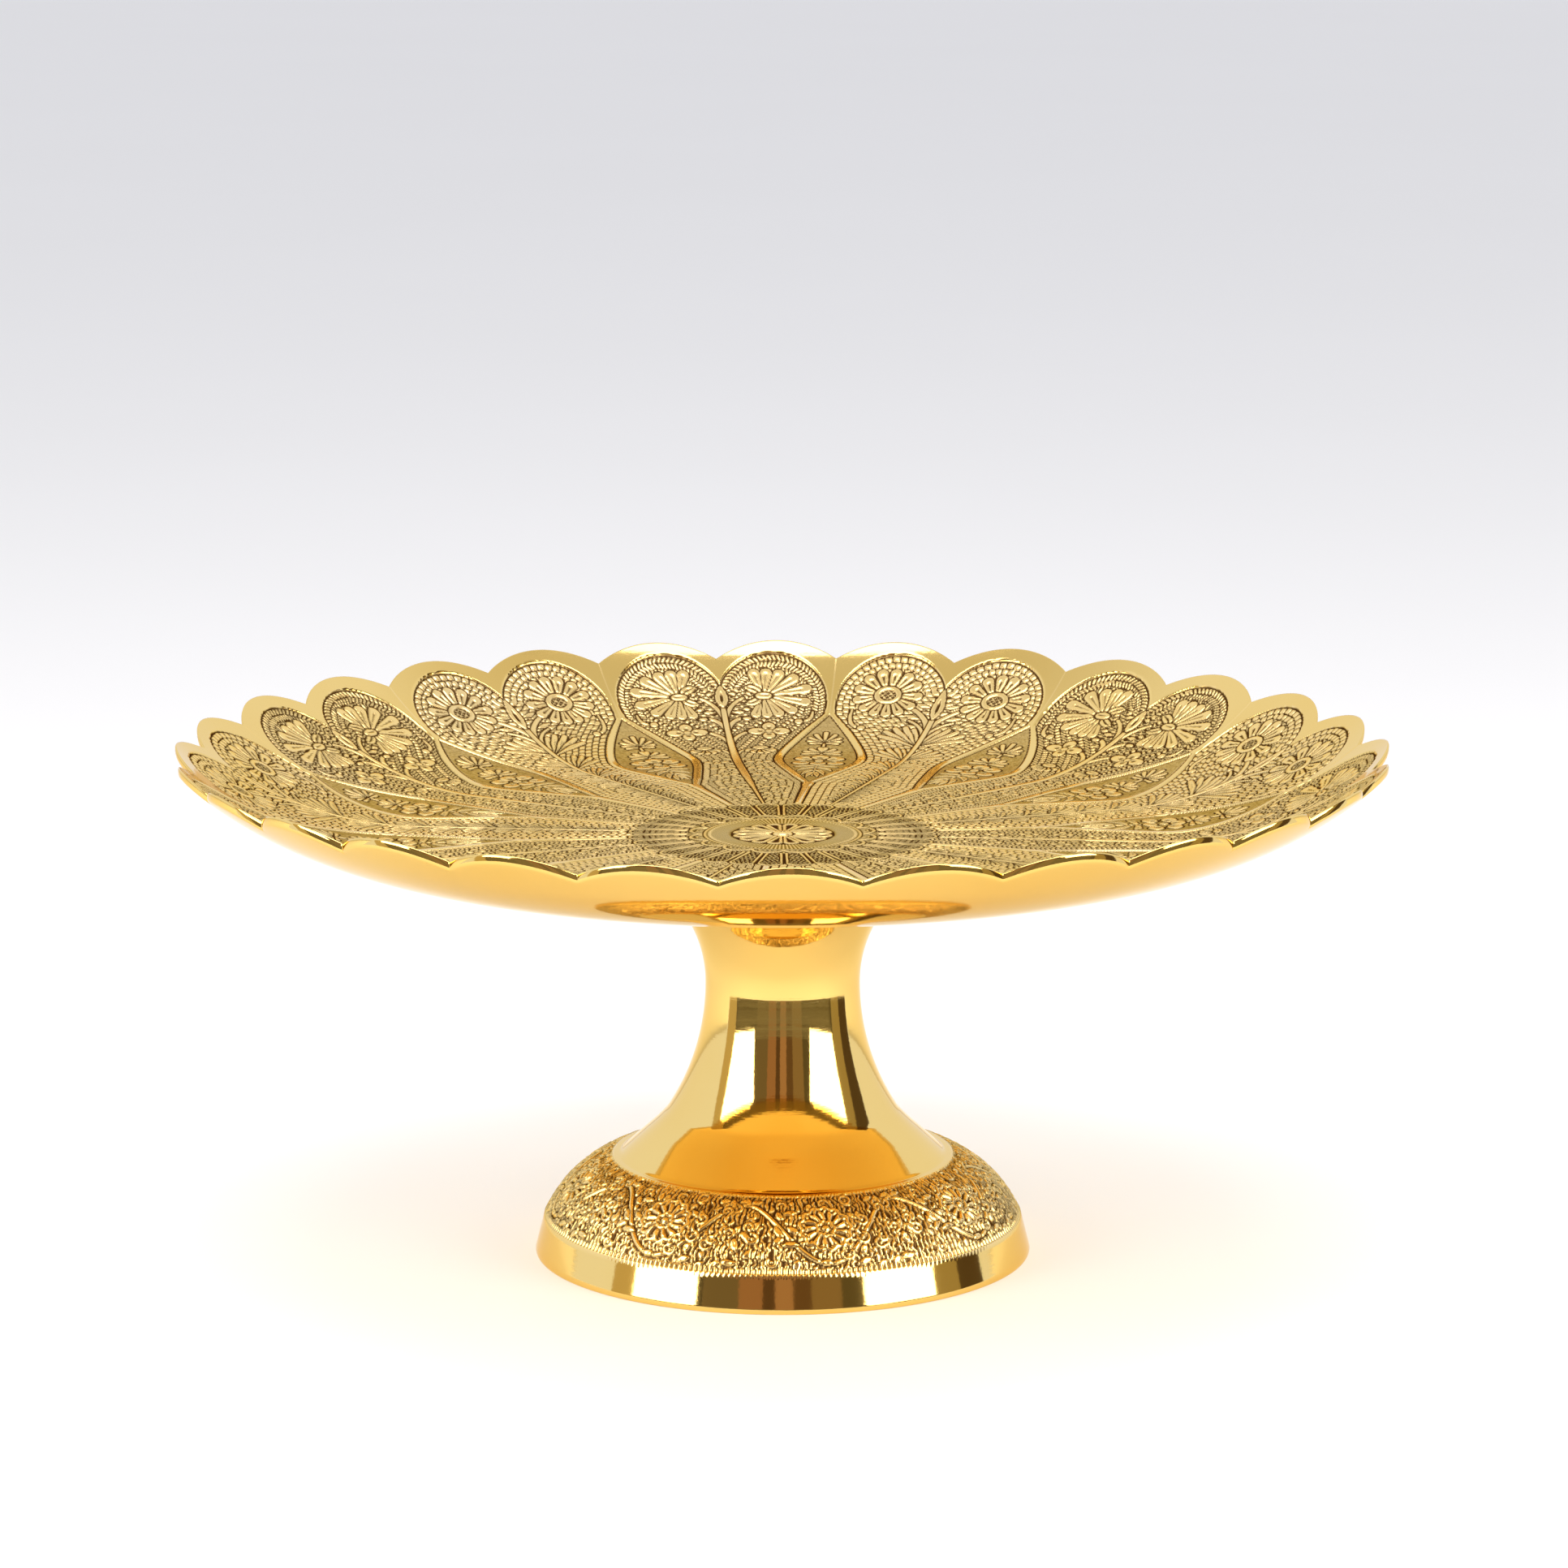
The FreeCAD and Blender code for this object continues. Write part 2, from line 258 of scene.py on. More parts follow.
def bell_flower(relief, x, y, size=1.0):
    """A half-open flower: five petals that hang outwards from a cap."""
    for number in range(5):
        heading = math.radians(-150 + 30 * number)
        ux, uy = math.cos(heading) * size, math.sin(heading) * size
        petal = stroke(x, y, [(1.0 * ux, 1.0 * uy), (3.9 * ux, 3.3 * uy)], [0.4 * size, 1.25 * size])
        relief.emboss(petal)
        relief.engrave(stroke(x, y, [(1.8 * ux, 1.6 * uy), (3.4 * ux, 3.0 * uy)], [0.14, 0.34 * size]), 0.3)
    relief.emboss(ellipse(x, y - 0.7 * size, 2.3 * size, 1.2 * size))
    relief.engrave(stroke(x, y - 0.7 * size, [(-1.2 * size, 0), (1.2 * size, 0)], [0.2, 0.2]), 0.28)


def scroll(relief, x, y, start, middle, end):
    """A curl that ends in a round drop."""
    points = bend(start, middle, end)
    relief.emboss(stroke(x, y, points, taper(0.35, 0.6, 0.5)))
    relief.emboss(np.hypot(x - end[0], y - end[1]) - 1.15)


def branch(relief, x, y, start, middle, end, thick=0.55):
    relief.emboss(stroke(x, y, bend(start, middle, end), taper(thick * 1.2, thick, thick * 0.8)))


def bud_leaf(relief, x, y, foot, tip, half):
    """A pointed leaf on the heart's axis, with a groove down its middle."""
    levels = np.linspace(foot, tip, 7)
    points = [(0.0, level) for level in levels]
    relief.emboss(stroke(x, y, points, half * np.array([0.25, 0.75, 1.0, 0.98, 0.8, 0.5, 0.08])))
    relief.engrave(stroke(x, y, points[1:5], half * np.array([0.05, 0.3, 0.26, 0.05])))


def acanthus(relief, x, y, foot, width, height):
    """One leaf of a pair: five curved fingers that leave the stem and spread outwards and up."""
    for reach, rise in ((0.30, 1.02), (0.52, 1.10), (0.74, 1.03), (0.92, 0.86), (1.0, 0.60)):
        tip = (width * reach, foot + height * rise)
        start = (0.25, foot + 0.10 * height * (1.3 - reach))
        middle = (width * reach * 0.42, foot + height * (0.34 + 0.30 * (1 - reach)))
        points = bend(start, middle, tip)
        radii = taper(0.25, 0.5, 0.95, 0.75) * height / 9.5
        relief.emboss(stroke(x, y, points, radii), groove=0.56, reach=0.42)
        relief.engrave(stroke(x, y, points[3:6], np.array([0.06, 0.16, 0.1])), 0.2)


def fan_heart(x, r):
    """The heart with a palmette in each lobe and a flowering stem, drawn for x >= 0."""
    depth, along = heart_field(x, r)
    relief = Relief(rope_ground(depth, along))
    narrowing = r / CHART
    real_x = x * narrowing

    levels = (95.0, 86.5, 78.0, 69.5, 61.0, 52.5, 44.5)
    reaches = (5.6, 5.0, 5.3, 5.9, 5.6, 5.0, 4.4)
    for level, out in zip(levels, reaches):
        branch(relief, real_x, r, (0.2, level - 3.6), (1.6, level - 1.2), (out - 1.4, level - 0.6), 0.42)
        four_petals(relief, real_x - out, r - level, 0.62 if level > 50 else 0.54)
        bud = bend((0.3, level + 1.2), (1.4, level + 3.3), (out - 1.6, level + 4.4))
        relief.emboss(stroke(real_x, r, bud, taper(0.25, 0.8, 0.7, 0.1)), reach=0.4)
        relief.engrave(stroke(real_x, r, bud[2:6], np.array([0.05, 0.18, 0.18, 0.05])), 0.26)

    side_x = (x - 9.4) * 0.79
    branch(relief, x * 0.8, r, (0.0, 100.5), (1.8, 106.6), (6.2, 108.0), 0.5)
    bell_flower(relief, side_x, r - 107.0, 0.92)
    branch(relief, x * 0.86, r, (0.0, 109.5), (1.6, 117.0), (8.2, 118.2), 0.62)
    four_petals(relief, (x - 12.6) * 0.87, r - 117.6, 1.0)
    scroll(relief, (x - 21.5) * 0.93, r - 123.0, (3.6, 3.8), (3.8, -0.8), (0.0, -0.6))
    branch(relief, x * 0.92, r, (0.0, 118.0), (1.4, 123.6), (5.6, 124.4), 0.7)
    relief.emboss(ellipse(x - 6.4, r - 123.9, 1.3, 0.8))
    branch(relief, x * 0.96, r, (0.0, 122.5), (1.2, 130.0), (5.6, 132.4), 0.6)
    palmette(relief, x - 11.6, r - 133.2)

    half_stem = np.interp(r, [40, 60, 75, 100, 118, 131], [0.32, 0.5, 1.0, 1.05, 0.75, 0.6])
    relief.emboss(np.where(r < 131, real_x - half_stem, np.hypot(real_x, r - 131) - 0.6))
    bud_leaf(relief, x, r, 129.2, 137.0, 1.75)
    return finish_heart(relief, depth, x, r)


def daisy_heart(x, r):
    """The heart with a daisy in each lobe and a stem of feathered leaves, drawn for x >= 0."""
    depth, along = heart_field(x, r)
    relief = Relief(cobble_ground(depth, along))
    narrowing = r / CHART
    real_x = x * narrowing

    levels = (41.5, 46.5, 52.0, 58.0, 64.5, 71.5, 79.0, 88.0, 98.5, 110.0)
    widths = (3.6, 4.2, 4.9, 5.6, 6.2, 6.6, 7.0, 7.6, 9.0, 11.6)
    heights = (4.2, 4.8, 5.4, 6.0, 6.6, 7.2, 7.8, 8.6, 9.2, 9.8)
    for level, width, height in zip(levels, widths, heights):
        acanthus(relief, real_x, r, level, width, height)

    scroll(relief, (x - 20.4) * 0.93, r - 122.4, (3.4, 5.6), (4.4, -2.0), (-0.2, -2.6))
    branch(relief, x * 0.92, r, (0.0, 119.5), (0.9, 125.5), (6.6, 129.4), 0.75)
    branch(relief, x * 0.92, r, (0.0, 115.5), (1.2, 122.0), (6.2, 124.2), 0.5)

    u, v = x - 15.1, r - 134.0
    for number in range(13):
        heading = TAU * (number + 0.5) / 13
        ux, uy = math.cos(heading), math.sin(heading)
        tip = 1.0 / math.hypot(ux / 9.5, uy / 8.6) - 1.35
        relief.emboss(stroke(u, v, [(3.4 * ux, 3.1 * uy), (tip * ux, tip * uy)], [0.65, 1.5]))
        inner = [(4.3 * ux, 3.9 * uy), (0.88 * tip * ux, 0.88 * tip * uy)]
        relief.engrave(stroke(u, v, inner, [0.12, 0.42]), 0.34)
    eye = ellipse(u, v, 3.7, 3.2)
    relief.emboss(eye)
    relief.engrave(ellipse(u, v, 2.3, 1.9), 0.42)
    weave = np.maximum(np.cos(TAU * (u + v) / 1.5), np.cos(TAU * (u - v) / 1.5))
    relief.sink(ellipse(u, v, 2.1, 1.7), -0.42 + 0.3 * smooth(0.2, 0.95, weave))

    half_stem = np.interp(r, [40, 70, 100, 126], [0.3, 0.42, 0.6, 0.8])
    relief.emboss(np.where(r < 126, real_x - half_stem, np.hypot(real_x, r - 126) - 0.8), reach=0.35)
    bud_leaf(relief, x, r, 125.4, 137.0, 1.7)
    return finish_heart(relief, depth, x, r)


def finish_heart(relief, depth, x, r):
    """Trim the field to its outline, cut the lines beside the bands and fill the lozenge."""
    edge = np.minimum(relief.height, -0.56 * smooth(0.62, 0.3, depth))
    height = np.where(depth > 0, edge, 0.0)
    height = np.where(depth > 0, height, -0.1 * smooth(-0.4, 0.0, depth))
    height = np.where((depth > 0) & (depth < 0.3), -0.56 * smooth(0.0, 0.22, depth), height)

    from_middle = HALF_HEART - x
    inside = (lozenge_half(r) - from_middle) * (r / CHART) * 0.92
    panel = Relief(-0.17 - 0.09 * value_noise(from_middle * 2.6, r * 2.6, 5))
    lozenge_flowers(panel, from_middle, r)
    filled = np.minimum(panel.height, -0.56 * smooth(0.62, 0.3, inside))
    filled = np.where(inside < 0.3, -0.56 * smooth(0.0, 0.22, inside), filled)
    height = np.where(inside > 0, filled, height)
    chased = np.maximum(depth, inside) > 0
    return height, chased


def lozenge_flowers(relief, x, r):
    """The plant in a lozenge: leaf, bud, blossom, side leaves and a hanging leaf, for x >= 0."""
    u = x * 0.75
    relief.emboss(stroke(u, r, [(0, 76), (0, 112)], [0.35, 0.35]))
    for number in range(5):
        heading = math.radians(90 - 24 * number)
        ux, uy = math.cos(heading), math.sin(heading)
        spread = 6.2 - 0.75 * number
        points = [(0.6 * ux, 0.6 * uy), (spread * ux, spread * uy)]
        relief.emboss(stroke(u, r - 110.6, points, [0.3, 0.62]), reach=0.36)
    for number in range(4):
        heading = math.radians(82 - 30 * number)
        ux, uy = math.cos(heading), math.sin(heading)
        points = [(0.7 * ux, 0.7 * uy), (4.6 * ux, 4.1 * uy)]
        relief.emboss(stroke(u, r - 103.0, points, [0.35, 0.75]), reach=0.36)
    for dx, dy, size in ((4.3, 98.2, 1.0), (4.9, 93.4, 1.0), (0.0, 99.6, 0.95), (0.0, 92.6, 0.95)):
        relief.emboss(ellipse(u - dx, r - dy, 2.5 * size, 2.0 * size))
        relief.engrave(ellipse(u - dx * 0.86, r - 96 - (dy - 96) * 0.8, 0.95, 0.7), 0.3)
    relief.emboss(np.hypot(u, r - 96.0) - 1.25)
    relief.engrave(np.hypot(u, r - 96.0) - 0.45, 0.3)
    for foot, out, drop in ((89.0, 6.6, -1.2), (86.5, 5.6, -4.2), (83.0, 3.8, -6.0), (80.0, 2.0, -6.2)):
        points = bend((0.2, foot), (out * 0.6, foot + 0.8), (out, foot + drop))
        relief.emboss(stroke(u, r, points, taper(0.3, 0.9, 0.95, 0.12)), reach=0.4)
        relief.engrave(stroke(u, r, points[2:6], np.array([0.08, 0.2, 0.2, 0.08])), 0.26)


# ---------------------------------------------------------------- the rosette in the middle

PETALS = 16
TONGUES = 32
ROSETTE_REACH = 39.6


def cell(angle, count):
    """Angle from the middle of the nearest of so many equal sectors."""
    step = TAU / count
    return (fraction(angle / step) - 0.5) * step


def rosette(angle, r):
    """Height over the middle of the dish, and the distance outside the rosette's tongues."""
    sector = cell(angle, TONGUES)
    lateral = r * sector
    tongue = stroke(lateral, r, [(0, 23.0), (0, 35.2)], [1.9, 3.15])
    row = np.floor(r / 1.5)
    lean = np.where(row % 2 == 0, 1.0, -1.0)
    tick = 0.5 + 0.5 * np.cos(TAU * (lateral / 1.15 + lean * fraction(r / 1.5) * 0.5))
    relief = Relief(-0.48 + 0.34 * smooth(0.3, 0.8, tick) * smooth(0, 0.2, fraction(r / 1.5)))
    relief.emboss(np.abs(tongue + 0.25) - 0.42, reach=0.35)
    relief.emboss(np.abs(np.abs(lateral) - 0.098 * r) - 0.18, groove=0.4, reach=0.3)

    small = cell(angle, PETALS)
    u = r * small
    fine = 0.5 + 0.5 * np.cos(112 * angle)
    relief.sink(r - 23.4, -0.34 + 0.2 * fine)
    outer_arc = np.hypot(u, (r - 19.6) * 1.1) - 3.9
    relief.emboss(np.where(r > 19.4, np.abs(outer_arc) - 0.5, 5.0))
    inner_arc = np.hypot(u, (r - 19.6) * 1.1) - 2.2
    relief.emboss(np.where(r > 19.4, np.abs(inner_arc) - 0.28, 5.0), groove=0.4, reach=0.3)
    relief.sink(r - 19.5, -0.2 + 0.13 * np.cos(112 * angle) * smooth(12.5, 14.0, r))
    relief.emboss(np.abs(r - 19.3) - 0.28, groove=0.4)

    relief.engrave(r - 12.9, 0.44)
    petal = stroke(u, r, [(0, 3.4), (0, 10.6)], [0.5, 2.0])
    relief.emboss(petal, groove=0.5)
    relief.engrave(stroke(u, r, [(0, 4.6), (0, 10.4)], [0.16, 1.05]), 0.34)
    relief.engrave(r - 3.1, 0.46)
    dome = 0.1 + 0.35 * np.sqrt(np.clip(1 - (r / 2.5) ** 2, 0, 1))
    relief.sink(r - 2.35, dome, 0.15)
    return relief.height, np.where(r < 23.4, -1.0, tongue)


# ---------------------------------------------------------------- building the dish

def scallop_outline(angle):
    """Radius of the dish's edge at an angle."""
    centre = TIP_RADIUS - SCALLOP_RADIUS
    swing = cell(angle - NOTCH_ANGLE, SCALLOPS)
    return centre * np.cos(swing) + np.sqrt(SCALLOP_RADIUS ** 2 - (centre * np.sin(swing)) ** 2)


def arc_height(r, arc):
    """Height above the floor's level of an arc that starts flat at the floor's radius."""
    out = np.clip(r - FLOOR_RADIUS, 0.0, arc * 0.99)
    return arc - np.sqrt(arc ** 2 - out ** 2)


def top_height(r):
    return FLOOR + arc_height(r, RIM_ARC)


def under_height(r):
    arc = RIM_ARC + THICKNESS
    return FLOOR + RIM_ARC - np.sqrt(arc ** 2 - np.clip(r - FLOOR_RADIUS, 0.0, None) ** 2)


def angles_of(columns):
    return NOTCH_ANGLE + TAU * np.arange(columns) / columns


def follow_scallops(radii, angle):
    """Bend rings near the rim so that the last one lies on the scalloped edge."""
    share = smooth(LAST_ROUND_RING, TIP_RADIUS, radii)[:, None] * (radii[:, None] > LAST_ROUND_RING)
    return radii[:, None] + share * (scallop_outline(angle)[None, :] - TIP_RADIUS)


def chased_rings(radii, columns):
    """Radius, height of relief and chased mask for rings of the dish's top."""
    angle = angles_of(columns)
    rings = follow_scallops(radii, angle)
    per_scallop = columns // SCALLOPS
    half = np.arange(per_scallop + 1)
    x = half[None, :] * HALF_HEART / per_scallop
    half_rings = rings[:, (half + per_scallop) % columns]
    fan, fan_mask = fan_heart(x + 0 * half_rings, half_rings)
    daisy, daisy_mask = daisy_heart(x + 0 * half_rings, half_rings)
    place = np.arange(columns) % (4 * per_scallop)
    in_daisy = place < 2 * per_scallop
    index = np.abs(np.where(in_daisy, place - per_scallop, place - 3 * per_scallop))
    height = np.where(in_daisy, daisy[:, index], fan[:, index])
    mask = np.where(in_daisy, daisy_mask[:, index], fan_mask[:, index])
    return angle, rings, height, mask


def dish_top(radii, columns):
    """Points and attributes of the dish's top rings, from the inside out."""
    angle, rings, height, mask = chased_rings(radii, columns)
    if radii[0] < ROSETTE_REACH + 1:
        middle, outside = rosette(angle[None, :] + 0 * rings, rings)
        blend = smooth(0.35, -0.05, outside)
        groove = -0.5 * smooth(0.8, 0.3, outside)
        height = np.minimum(height, groove) * (1 - blend) + middle * blend
        mask = mask | (rings < ROSETTE_REACH)
    return ring_points(angle, rings, top_height(rings), height), height, mask


def ring_points(angle, rings, level, height):
    """Points of a dish surface, raised along the surface's own normal."""
    lean = np.clip((rings - FLOOR_RADIUS) / RIM_ARC, 0.0, 0.99)
    upright = np.sqrt(1 - lean ** 2)
    radius = rings - height * lean
    z = level + height * upright
    return np.stack([radius * np.sin(angle)[None, :], -radius * np.cos(angle)[None, :], z], axis=-1)


def stitch(first, second, first_start, second_start):
    """Faces between two closed rings, whose point counts are equal or double one another."""
    if first == second:
        i = np.arange(first)
        j = (i + 1) % first
        return np.stack([first_start + i, first_start + j, second_start + j, second_start + i], 1), None
    flipped = first < second
    fine, coarse = max(first, second), min(first, second)
    fine_start = second_start if flipped else first_start
    coarse_start = first_start if flipped else second_start
    i = np.arange(coarse)
    j = (i + 1) % coarse
    left, middle, right = (fine_start + (2 * i + step) % fine for step in (0, 1, 2))
    near, far = coarse_start + i, coarse_start + j
    faces = np.concatenate([np.stack(corners, 1) for corners in (
        (left, middle, near), (middle, right, far), (middle, far, near))])
    return None, faces[:, ::-1] if flipped else faces


def mesh_from_rings(name, rings, loop=False, poles=()):
    """A smooth closed mesh from rings of (points, uv, attributes), each later ring further on."""
    counts = [len(ring["points"]) for ring in rings]
    starts = np.concatenate([[0], np.cumsum(counts)])
    quads, triangles = [], []
    pairs = list(zip(range(len(rings) - 1), range(1, len(rings))))
    if loop:
        pairs.append((len(rings) - 1, 0))
    for a, b in pairs:
        quad, triangle = stitch(counts[a], counts[b], starts[a], starts[b])
        if quad is None:
            triangles.append(triangle)
        else:
            quads.append(quad)
    points = [ring["points"] for ring in rings]
    total = starts[-1]
    for pole, ring, outward in poles:
        i = np.arange(counts[ring])
        j = (i + 1) % counts[ring]
        fan = [np.full_like(i, total), starts[ring] + j, starts[ring] + i]
        triangles.append(np.stack(fan if outward else [fan[0], fan[2], fan[1]], 1))
        points.append(np.array([pole["point"]]))
        total += 1
    quads = np.concatenate(quads)
    triangles = np.concatenate(triangles) if triangles else np.zeros((0, 3), int)
    corners = np.concatenate([quads.ravel(), triangles.ravel()])
    sizes = np.concatenate([np.full(len(quads), 4), np.full(len(triangles), 3)])

    mesh = bpy.data.meshes.new(name)
    mesh.vertices.add(total)
    mesh.vertices.foreach_set("co", (np.concatenate(points) * MM).astype(np.float32).ravel())
    mesh.loops.add(len(corners))
    mesh.loops.foreach_set("vertex_index", corners.astype(np.int32))
    mesh.polygons.add(len(sizes))
    mesh.polygons.foreach_set("loop_start", (np.cumsum(sizes) - sizes).astype(np.int32))
    mesh.update(calc_edges=True)
    mesh.polygons.foreach_set("use_smooth", np.ones(len(sizes), bool))

    for key in ("depth", "chased"):
        values = np.concatenate([ring[key] for ring in rings] + [np.array([p[0][key]]) for p in poles])
        mesh.attributes.new(key, "FLOAT", "POINT").data.foreach_set("value", values.astype(np.float32))
    uv = np.concatenate([ring["uv"] for ring in rings] + [np.array([p[0]["uv"]]) for p in poles])
    layer = mesh.uv_layers.new(name="OFBake")
    layer.data.foreach_set("uv", uv[corners].astype(np.float32).ravel())
    mesh.validate()
    obj = bpy.data.objects.new(name, mesh)
    bpy.context.collection.objects.link(obj)
    return obj


def ring(points, uv, height=None, chased=None):
    """One ring of a mesh. Its depth is the share of the deepest cut, and chased is a mask."""
    nothing = np.zeros(len(points))
    depth = nothing if height is None else np.clip(-height / DEEPEST_CUT, 0, 1)
    chased = nothing if chased is None else chased * 1.0
    return {"points": points, "uv": uv, "depth": depth, "chased": chased}


DEEPEST_CUT = 0.5
TOP_UV, UNDER_UV = 0.44, 0.14


def disc_uv(points, share, corner):
    """Lay a disc flat in the corner of the square of texture."""
    middle = share + 0.002 if corner == 0 else 0.998 - share
    return middle + points[:, :2] / TIP_RADIUS * share


def build_dish():
    fine = 96 * SCALLOPS
    step = 0.36
    rings = []
    zones = (
        (0.6, 9.0, fine // 16),
        (9.0, 18.0, fine // 8),
        (18.0, 37.5, fine // 4),
        (37.5, 75.0, fine // 2),
        (75.0, TIP_RADIUS - 0.45, fine),
    )
    for low, high, columns in zones:
        radii = np.arange(low, high, step if columns > fine // 16 else step * 0.8)
        if columns == fine:
            radii = np.append(radii, high)
        points, height, mask = dish_top(radii, columns)
        for number in range(len(radii)):
            row = points[number]
            rings.append(ring(row, disc_uv(row, TOP_UV, 0), height[number], mask[number]))

    edge_columns = fine
    for inset, share in ((0.15, 0.06), (0.0, 0.28), (0.0, 0.5), (0.0, 0.72), (0.15, 0.94)):
        angle = angles_of(edge_columns)
        radius = scallop_outline(angle) - inset
        top, bottom = top_height(radius), under_height(radius)
        level = top + (bottom - top) * share
        points = np.stack([radius * np.sin(angle), -radius * np.cos(angle), level], 1)
        rings.append(ring(points, disc_uv(points, TOP_UV * (1.0 + 0.02 * share), 0)))
        if share > 0.5:
            edge_columns //= 2
    for base in np.append(np.arange(TIP_RADIUS - 0.6, 100, -1.1), np.arange(100, 3, -2.5)):
        angle = angles_of(edge_columns)
        radius = follow_scallops(np.array([base]), angle)[0]
        points = np.stack([radius * np.sin(angle), -radius * np.cos(angle), under_height(radius)], 1)
        rings.append(ring(points, disc_uv(points, UNDER_UV, 1)))

    centre_uv = np.array([TOP_UV + 0.002] * 2)
    under_uv = np.array([0.998 - UNDER_UV] * 2)
    top_pole = {"point": (0, 0, FLOOR + 0.45), "uv": centre_uv, "depth": 0.0, "chased": 1.0}
    under_pole = {"point": (0, 0, UNDERSIDE), "uv": under_uv, "depth": 0.0, "chased": 0.0}
    poles = ((top_pole, 0, False), (under_pole, len(rings) - 1, True))
    return mesh_from_rings("engraved_dish", rings, poles=poles)


# ---------------------------------------------------------------- building the pedestal

# The pedestal's outline, as the CAD has it: (radius, height) of its corners, and its arcs.
SEAT = PEDESTAL_HIGH[2]
SEAT_RADIUS = 33.5
FOOT_RADIUS = PEDESTAL_HIGH[0]
BAND_LOW, BAND_HIGH = (59.8, 9.2), (42.6, 24.6)
CONE_FOOT, CONE_KNEE, CONE_MIDDLE, NECK = (40.7, 24.7), (33.3, 31.4), (28.9, 36.0), (19.3, 68.5)
FLARE_MIDDLE, FLARE_TOP = (24.0, 85.2), (SEAT_RADIUS, 100.0)
BAND_ARC, CONE_LOW_ARC, CONE_HIGH_ARC, NECK_ARC = 28.4, 44.5, 60.0, 32.2

# Its hollow, from the seat down: mouth, recess, web with the stud's hole, bore, and the core.
PEDESTAL_WALL = 3.0
MOUTH, RECESS, STUD_HOLE, BORE = 29.5, 20.0, 4.5, 16.3
WEB_TOP, WEB_BOTTOM = 94.0, 90.0
CORE_MIDDLE, CORE_CONE, CORE_SHOULDER, CORE_BAND = (26.5, 34.2), (42.5, 21.6), (43.6, 21.6), (57.0, 9.2)
CORE_LOW_ARC = 45.0

BAND_ROSETTES = 8
FIRST_ROSETTE = math.radians(10.9)
BAND_DEPTH = 1.25
# The band is rubbed cleaner than the dish: its depth counts only so much towards the dark colour of its
# cuts, which is partly patina and partly painted shade.
BAND_SHINE = 0.62


def arc(start, end, radius, turn, step):
    """Points from start up to, not including, end, on an arc that turns left or right."""
    start, end = np.array(start, float), np.array(end, float)
    chord = end - start
    length = np.hypot(*chord)
    left = np.array([-chord[1], chord[0]]) / length
    centre = (start + end) / 2 + left * turn * math.sqrt(radius ** 2 - length ** 2 / 4)
    first = math.atan2(*(start - centre)[::-1])
    last = math.atan2(*(end - centre)[::-1])
    sweep = (last - first + math.pi) % TAU - math.pi
    count = max(2, round(abs(sweep) * radius / step))
    theta = first + sweep * np.arange(count) / count
    return centre + radius * np.stack([np.cos(theta), np.sin(theta)], 1)


def line(start, end, step):
    count = max(1, round(math.dist(start, end) / step))
    t = (np.arange(count) / count)[:, None]
    return np.array(start, float) * (1 - t) + np.array(end, float) * t


def rounded(corners, radius=0.5):
    """Short steps round a corner: the points just before, at and just after it."""
    before, corner, after = (np.array(point, float) for point in corners)
    arms = [(point - corner) / np.hypot(*(point - corner)) * radius for point in (before, after)]
    return np.array([corner + arms[0], corner + (arms[0] + arms[1]) * 0.3, corner + arms[1]])


